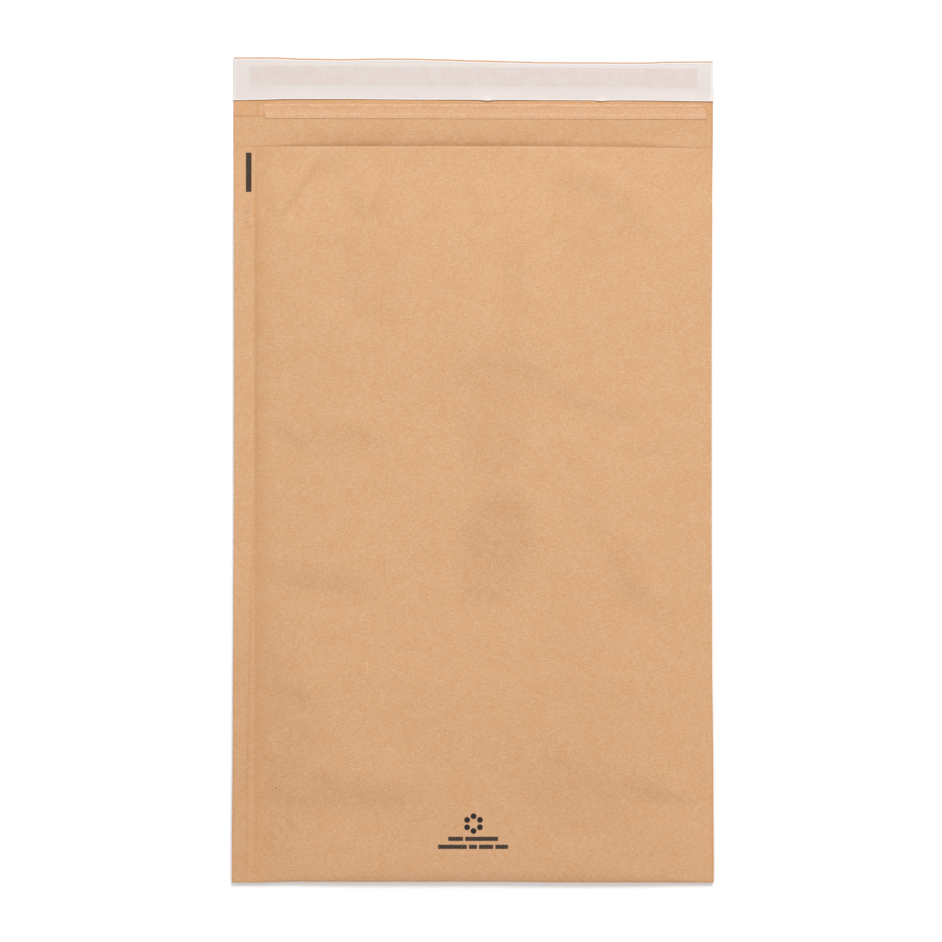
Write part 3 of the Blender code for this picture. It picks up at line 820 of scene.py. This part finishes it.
def make_lining():
    cols = unit(uneven(-132.0, 132.0, 4.4, ((-132, -118, 1.4), (118, 132, 1.6))))
    front_rows = uneven(0.0, 1.0, 5.0 / 406, ((0.0, 0.02, 1.6 / 406), (0.98, 1.0, 1.6 / 406)))[1:]
    back_rows = uneven(Y_FOLD + 4.6, Y_MOUTH - 2.0, 6.0, ((Y_FOLD, Y_FOLD + 9, 1.8),))[::-1]
    tail = []
    end = LINING_HI[1]
    for y_line in uneven(Y_MOUTH - 1.5, end, 1.3, ((end - 0.5, end, 0.25),))[::-1]:
        y = np.full(cols.shape, y_line)
        x = left_edge(y) + 0.25 + (right_edge(y) - left_edge(y) - 0.5) * cols
        y = y + 0.10 * np.sin(x / 13.0) * ramp(y, end - 3, end) - 0.0030 * x * ramp(y, end - 3, end)
        tail.append((x, y, tongue_height(x, y)))
    points, uv = folded(cols, front_rows, back_rows, lining_low, lining_high, 0.25, 1.25, 0.9, lambda x: mouth(x) - 0.15, tail)
    piece = solid_sheet("lining_sheet", points, LINING_PLY, uv)
    piece.data.materials.append(kraft_inner())
    return own(piece, "kraft_inner", "inner_lining")


def make_padding():
    cols = unit(uneven(-122.0, 131.0, 3.6, ((-122, -112, 1.6),)))
    front_rows = uneven(0.0, 1.0, 4.6 / 406, ((0.0, 0.02, 1.6 / 406), (0.98, 1.0, 0.8 / 406)))[1:]
    rng = np.random.default_rng(5)
    torn = rng.normal(0, 0.28, 400)

    def end(x):
        return mouth(x) - 3.4 + np.interp(x, np.linspace(-134, 134, 400), torn)

    def rows_of(sign, vs, y0, y1):
        out, uvs, thick = [], [], []
        for v in vs:
            y = y0 + (y1 - y0) * v
            lo, hi = seam(y) + 2.6, right_edge(y) - 4.6
            x = lo + (hi - lo) * cols
            out.append(np.stack([x, y, padding_high(x, y) if sign > 0 else padding_low(x, y)], -1))
            uvs.append(np.stack([x * MM, y * MM + (1.0 if sign < 0 else 0.0)], -1))
            thick.append(np.maximum(blanket(x, y) if sign > 0 else back_blanket(x, y), 0.05))
        return out, uvs, thick

    x_mouth = seam(np.array(Y_MOUTH)) + 2.6 + (right_edge(np.array(Y_MOUTH)) - 4.6 - seam(np.array(Y_MOUTH)) - 2.6) * cols
    x_fold = seam(np.array(Y_FOLD)) + 2.6 + (right_edge(np.array(Y_FOLD)) - 4.6 - seam(np.array(Y_FOLD)) - 2.6) * cols
    start, radius = bottom(x_fold) + 0.55, 1.3
    full = start + radius
    b, bu, bt = rows_of(-1, front_rows[::-1], full, end(x_mouth))
    f, fu, ft = rows_of(1, front_rows, full, end(x_mouth))
    top, under = padding_high(x_fold, full), padding_low(x_fold, full)
    h, c, t = (top - under) / 2, (top + under) / 2, np.maximum(blanket(x_fold, full), 0.05)
    n, nu, nt = [], [], []
    for a in NOSE_ANGLES:
        y = start + radius * (1 - np.cos(a))
        n.append(np.stack([x_fold, y, c + h * np.sin(a)], -1))
        nu.append(np.stack([x_fold * MM, y * MM + (1.0 if a < 0 else 0.0)], -1))
        nt.append(np.minimum(t, 0.5))
    piece = solid_sheet("padding_blanket", np.array(b + n + f), np.array(bt + nt + ft), np.array(bu + nu + fu))
    piece.data.materials.append(fluff())
    own(piece, "paper_fill", "padding")
    return piece


def make_strip():
    xs = uneven(STRIP_LO[0], STRIP_HI[0], 2.2, ((STRIP_LO[0], STRIP_LO[0] + 2, 0.4), (STRIP_HI[0] - 2, STRIP_HI[0], 0.4)))
    ys = uneven(STRIP_LO[1], STRIP_HI[1], 0.42)
    y, x = np.meshgrid(ys, xs, indexing="ij")
    x = x + np.where(x < 0, 1.0, 0.6) * (STRIP_HI[1] - y) * 0.09 * np.clip((np.abs(x) - 100) / 20, 0, 1)
    y = y - 0.0022 * x + 0.10
    over = ramp(y + 0.0030 * x, LINING_HI[1] + 1.3, LINING_HI[1] + 0.35)
    z = flap_ply(x, y) + PLY / 2 + 0.13 + (LINING_PLY + 0.06) * over
    lip = 0.22 * np.exp(-(((y + 0.0022 * x - STRIP_HI[1] + 0.75) / 0.5) ** 2)) * (0.6 + 0.4 * np.sin(x / 3.7) * np.sin(x / 11.0 + 1))
    ends = 0.12 * (np.exp(-(((x - STRIP_LO[0] - 0.6) / 0.6) ** 2)) + np.exp(-(((x - STRIP_HI[0] + 0.2) / 0.6) ** 2)))
    grain = 0.006 * np.sin(x * 2.3 + np.sin(y * 4)) * np.sin(y * 3.1 + np.sin(x * 0.7)) * ramp(y, STRIP_LO[1] + 4.5, STRIP_LO[1] + 3.5)
    piece = solid_sheet("tape_strip", np.stack([x, y, z + lip + ends + grain], -1), 0.20, np.stack([x * MM, y * MM], -1))
    piece.data.materials.append(kraft_tape())
    return own(piece, "kraft_tape", "tear_strip")


def make_glue():
    xs = uneven(GLUE_LO[0], GLUE_HI[0], 3.0, ((GLUE_LO[0], GLUE_LO[0] + 3, 0.5), (GLUE_HI[0] - 3, GLUE_HI[0], 0.5)))
    v = np.linspace(-1, 1, 13)
    vv, x = np.meshgrid(v, xs, indexing="ij")
    r = 2.0
    inset_x = np.minimum(x - GLUE_LO[0], GLUE_HI[0] - x)
    pull = r - np.sqrt(np.maximum(r * r - np.maximum(r - inset_x, 0) ** 2, 0))
    half = (GLUE_HI[1] - GLUE_LO[1]) / 2 - 0.6 - pull
    y = (GLUE_HI[1] + GLUE_LO[1]) / 2 + 0.2 - 0.0074 * x + vv * half
    z = flap_ply(x, y) + PLY / 2 + 0.02 + 0.05
    piece = solid_sheet("hot_melt_band", np.stack([x, y, z], -1), 0.10, np.stack([x * MM, y * MM], -1))
    piece.data.materials.append(hot_melt())
    return own(piece, "hot_melt", "adhesive_strip")


def make_liner():
    cols = unit(uneven(-133.4, 133.4, 2.0, ((-133.4, -131, 0.5), (-126, -121, 0.6), (5, 11, 0.8), (68, 74, 0.8), (122, 127, 0.6), (131, 133.4, 0.5))))
    v = np.concatenate([[0.0, 0.012, 0.03, 0.055, 0.085], np.linspace(0.12, 0.94, 24), [0.965, 0.985, 1.0]])
    vv, cc = np.meshgrid(v, cols, indexing="ij")
    y_mid = 206 + 21 * vv
    left = left_edge(y_mid) + 0.15 - 0.35 * (1 - vv) ** 2
    right = right_edge(y_mid) + 0.05 + 0.35 * (1 - vv) ** 2
    x = left + (right - left) * cc
    lo, hi = liner_edge(x), flap_edge(x) - 0.72
    y = lo + (hi - lo) * vv
    on_glue = ramp(x, GLUE_LO[0] - 1.6, GLUE_LO[0] + 0.2) * (1 - ramp(x, GLUE_HI[0] - 0.2, GLUE_HI[0] + 1.6))
    yc = (GLUE_HI[1] + GLUE_LO[1]) / 2 + 0.2 - 0.0074 * x
    half = (GLUE_HI[1] - GLUE_LO[1]) / 2 - 0.6
    on_glue = on_glue * (1 - ramp(np.abs(y - yc), half - 0.2, half + 1.3))
    lift = (0.30 + 0.12 * np.sin(x / 17.0 + 1.0)) * np.exp(-(((y - lo) / 3.4) ** 2))
    lift += 0.35 * np.exp(-(((y - lo) / 1.6) ** 2)) * (np.exp(-(((x - 8) / 3.0) ** 2)) + np.exp(-(((x - 71) / 2.8) ** 2)))
    lift += 0.25 * (np.exp(-(((x - left) / 3.0) ** 2)) + np.exp(-(((right - x) / 3.0) ** 2)))
    z = flap_ply(x, y) + PLY / 2 + 0.16 + 0.07 * on_glue + lift
    piece = solid_sheet("liner_sheet", np.stack([x, y, z], -1), 0.12, np.stack([x * MM, y * MM], -1))
    mesh = piece.data
    # rim holds a painted highlight along the lower edge and, a little weaker, the upper edge
    rim = mesh.attributes.new("rim", "FLOAT", "POINT")
    near = np.maximum(1 - ramp(y - lo, 0.15, 0.65), 0.9 * (1 - ramp(hi - y, 0.15, 0.75)))
    rim.data.foreach_set("value", np.concatenate([near.reshape(-1)] * 2).astype(np.float32))
    mesh.materials.append(finish_liner(*liner_paper()))
    return own(piece, "siliconised_paper", "release_liner")


# ---------------------------------------------------------------- stage, light and camera

def make_stage():
    bpy.ops.mesh.primitive_plane_add(size=9.0, location=(0, 0, -0.0001))
    floor = bpy.context.object
    floor.name = "studio_floor"
    paint = bpy.data.materials.new("pale_floor")
    paint.use_nodes = True
    shader = paint.node_tree.nodes["Principled BSDF"]
    shader.inputs["Base Color"].default_value = (0.93, 0.93, 0.93, 1)
    shader.inputs["Roughness"].default_value = 0.9
    shader.inputs["Specular IOR Level"].default_value = 0.1
    floor.data.materials.append(paint)


def area_light(name, at, size, power, aim=(0, 0, 0)):
    from mathutils import Vector

    data = bpy.data.lights.new(name, "AREA")
    data.shape, data.size = "SQUARE", size
    data.energy = power
    lamp = bpy.data.objects.new(name, data)
    lamp.location = at
    lamp.rotation_euler = (Vector(aim) - Vector(at)).to_track_quat("-Z", "Y").to_euler()
    bpy.context.scene.collection.objects.link(lamp)


def make_light():
    world = bpy.data.worlds.new("studio")
    world.use_nodes = True
    back_ground = world.node_tree.nodes["Background"]
    back_ground.inputs["Color"].default_value = (1, 1, 1, 1)
    back_ground.inputs["Strength"].default_value = 0.55
    bpy.context.scene.world = world
    area_light("key", (0.66, 2.76, 2.58), 1.4, 114.0)
    area_light("fill", (-0.40, -2.00, 3.00), 1.8, 26.5)


def make_camera():
    width = 942 * 0.5545 * MM
    lens = 150.0
    distance = width * lens / 36.0
    data = bpy.data.cameras.new("camera")
    data.type, data.lens, data.sensor_width = "PERSP", lens, 36.0
    data.clip_end = 20.0
    camera = bpy.data.objects.new("camera", data)
    camera.location = (-0.00105, -0.00055, distance + 0.004)
    camera.rotation_euler = (0, 0, 0)
    bpy.context.scene.collection.objects.link(camera)
    bpy.context.scene.camera = camera


bpy.context.scene.view_settings.view_transform = "Standard"
make_camera()
make_stage()
make_light()
make_wrapper()
make_lining()
make_padding()
make_strip()
make_glue()
make_liner()

bpy.context.view_layer.update()
